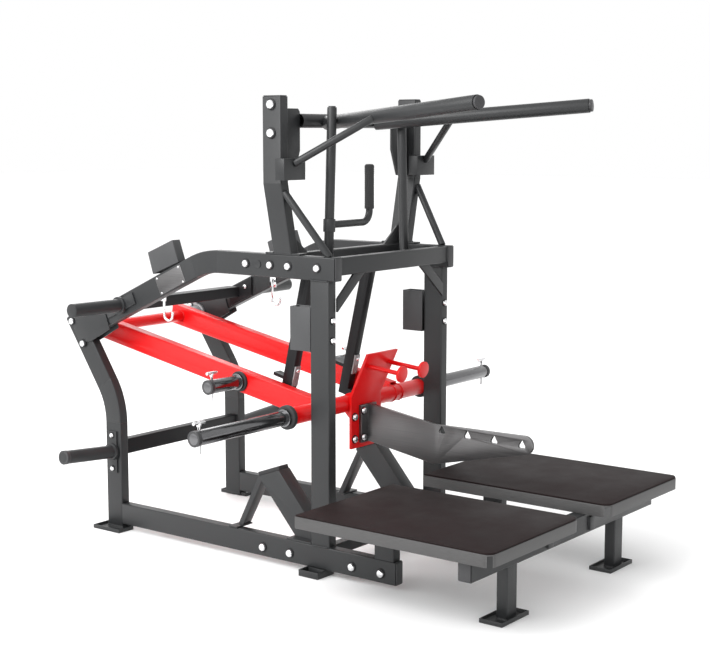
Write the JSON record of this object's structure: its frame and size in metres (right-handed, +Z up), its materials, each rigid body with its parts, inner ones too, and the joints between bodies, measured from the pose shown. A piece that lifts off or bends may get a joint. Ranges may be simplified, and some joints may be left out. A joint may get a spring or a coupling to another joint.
{
  "type": "belt_squat_machine",
  "caption": "Plate-loaded belt squat machine: grey steel frame, two platforms with an open gap, a pivoting red lever with plate sleeves and a belt arm, swinging catches, and hand bars.",
  "frame": {"origin": "on the floor, under the middle of the machine's overall box", "axes": "+Z up; +Y from the user's platforms toward the lever's pivot at the rear; +X to the user's right"},
  "size_m": [1.7, 2.1102, 1.624],
  "materials": {
    "frame_paint": "textured dark grey powder coat",
    "dark_paint": "near-black powder coat",
    "lever_paint": "glossy red powder coat",
    "rubber": "matte moulded rubber",
    "cap_plastic": "matte black plastic",
    "satin_steel": "brushed, with a satin clear coat",
    "chrome": "hard chrome, polished"
  },
  "bodies": {
    "frame": {"base_rail_left": "frame_paint", "base_rail_right": "frame_paint", "rear_leg_left": "frame_paint", "rear_leg_right": "frame_paint", "front_upright_left": "frame_paint", "front_upright_right": "frame_paint", "top_beam_left": "frame_paint", "top_beam_right": "frame_paint", "column_left": "frame_paint", "column_right": "frame_paint", "front_crossbeam": "frame_paint", "rear_crossmember": "frame_paint", "lower_crossmember": "frame_paint", "column_tie": "frame_paint", "upper_cross_tube": "frame_paint", "column_gussets": "frame_paint", "column_brackets": "frame_paint", "post_left": "frame_paint", "post_right": "frame_paint", "handle_bar_left": "frame_paint", "handle_bar_right": "frame_paint", "end_caps": "cap_plastic", "bar_struts": "frame_paint", "storage_horns": "frame_paint", "upright_covers": "frame_paint", "beam_guards": "frame_paint", "blank_plates": "satin_steel", "joint_gussets": "frame_paint", "platform_left": "satin_steel", "platform_right": "satin_steel", "platform_mats": "rubber", "platform_front_tube": "frame_paint", "platform_legs": "frame_paint", "feet": "frame_paint", "bumper_brackets": "frame_paint", "bumper_pads": "rubber", "pivot_shaft": "chrome", "pivot_bearings": "satin_steel", "belt_hooks": "chrome", "frame_bolts": "chrome"},
    "lever": {"catch_lugs": "lever_paint", "lever_arm_left": "lever_paint", "lever_arm_right": "lever_paint", "lever_pivot_tube": "lever_paint", "lever_cross_tube": "lever_paint", "weight_sleeves": "chrome", "short_sleeves": "chrome", "plate_stops": "rubber", "belt_bracket": "lever_paint", "bracket_pegs": "lever_paint", "belt_arm": "satin_steel", "lever_bolts": "chrome"},
    "lock_handle": {"lock_handle": "frame_paint", "lock_grip": "rubber"},
    "catch_left": {"catch_left": "dark_paint"},
    "catch_right": {"catch_right": "dark_paint"},
    "lock_pin_left": {"lock_pin_left": "chrome"},
    "lock_pin_right": {"lock_pin_right": "chrome"},
    "short_pin_left": {"short_pin_left": "chrome"},
    "short_pin_right": {"short_pin_right": "chrome"}
  },
  "joints": [
    {"name": "lever_pivot", "type": "hinge", "parent": "frame", "child": "lever", "pos_m": [0, 0.98292, 0.752], "axis": [-1, 0, 0], "range_deg": [-10.3, 9.5]},
    {"name": "catch_left_swing", "type": "hinge", "parent": "frame", "child": "catch_left", "pos_m": [-0.174, -0.01608, 1.03], "axis": [-1, 0, 0], "range_deg": [0, 4.2]},
    {"name": "catch_right_swing", "type": "hinge", "parent": "frame", "child": "catch_right", "pos_m": [0.174, -0.01608, 1.03], "axis": [-1, 0, 0], "range_deg": [0, 4.2]},
    {"name": "lock_handle_turn", "type": "hinge", "parent": "frame", "child": "lock_handle", "pos_m": [-0.21675, -0.13508, 1.188], "axis": [-0.0416, 0, -0.9991], "range_deg": [0, 40.1]},
    {"name": "lock_pin_left_slide", "type": "slide", "parent": "lever", "child": "lock_pin_left", "axis": [0, 0, 1], "range_m": [0, 0.08]},
    {"name": "lock_pin_right_slide", "type": "slide", "parent": "lever", "child": "lock_pin_right", "axis": [0, 0, 1], "range_m": [0, 0.08]},
    {"name": "short_pin_left_slide", "type": "slide", "parent": "lever", "child": "short_pin_left", "axis": [0, 0, 1], "range_m": [0, 0.08]},
    {"name": "short_pin_right_slide", "type": "slide", "parent": "lever", "child": "short_pin_right", "axis": [0, 0, 1], "range_m": [0, 0.08]}
  ],
  "couplings": [
    {"joint": "catch_right_swing", "follows": "catch_left_swing", "ratio": 1},
    {"joint": "lock_handle_turn", "follows": "catch_left_swing", "ratio": 9.5}
  ]
}
